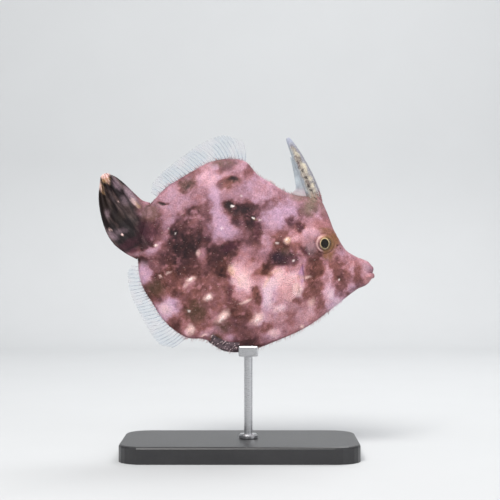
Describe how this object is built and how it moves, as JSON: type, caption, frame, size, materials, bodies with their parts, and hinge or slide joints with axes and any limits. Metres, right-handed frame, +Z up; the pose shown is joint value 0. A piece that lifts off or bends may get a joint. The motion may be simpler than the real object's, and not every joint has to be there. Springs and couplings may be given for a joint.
{
  "type": "aiptasia-eating filefish model on a display stand",
  "caption": "Still, life-size filefish with a deep thin body, raised barbed spine, clear fins and closed dark tail, held by a rod over a flat base.",
  "frame": {"origin": "middle of the underside of the display base", "axes": "+X towards the fish's snout, +Y to the fish's left, +Z up"},
  "size_m": [0.0984, 0.046, 0.1145],
  "materials": {
    "mottled_skin": "velvety fish skin, pink-lilac ground with dark brown blotches and pale spots",
    "spine_skin": "rough cream-grey skin over bone with brown marks",
    "spine_web": "thin mottled skin behind the spine",
    "clear_fin": "clear bluish fin membrane with pale rays",
    "dark_fin": "dark brown fin skin with pale tips, edge spots and streaks",
    "eye": "wet gold iris round a dark pupil",
    "stand_board": "plain dark board, satin",
    "stand_metal": "brushed rod and clip"
  },
  "bodies": {
    "root": {"head": "mottled_skin", "torso": "mottled_skin", "belly_flap": "mottled_skin", "tail_base": "mottled_skin", "pelvic_rudiment": "spine_skin", "dorsal_spine": "spine_skin", "spine_membrane": "spine_web", "dorsal_fin": "clear_fin", "anal_fin": "clear_fin", "pectoral_fin_left": "clear_fin", "pectoral_fin_right": "clear_fin", "caudal_fin": "dark_fin", "eye_left": "eye", "eye_right": "eye", "stand_base": "stand_board", "stand_rod": "stand_metal", "stand_saddle": "stand_metal"}
  },
  "joints": []
}
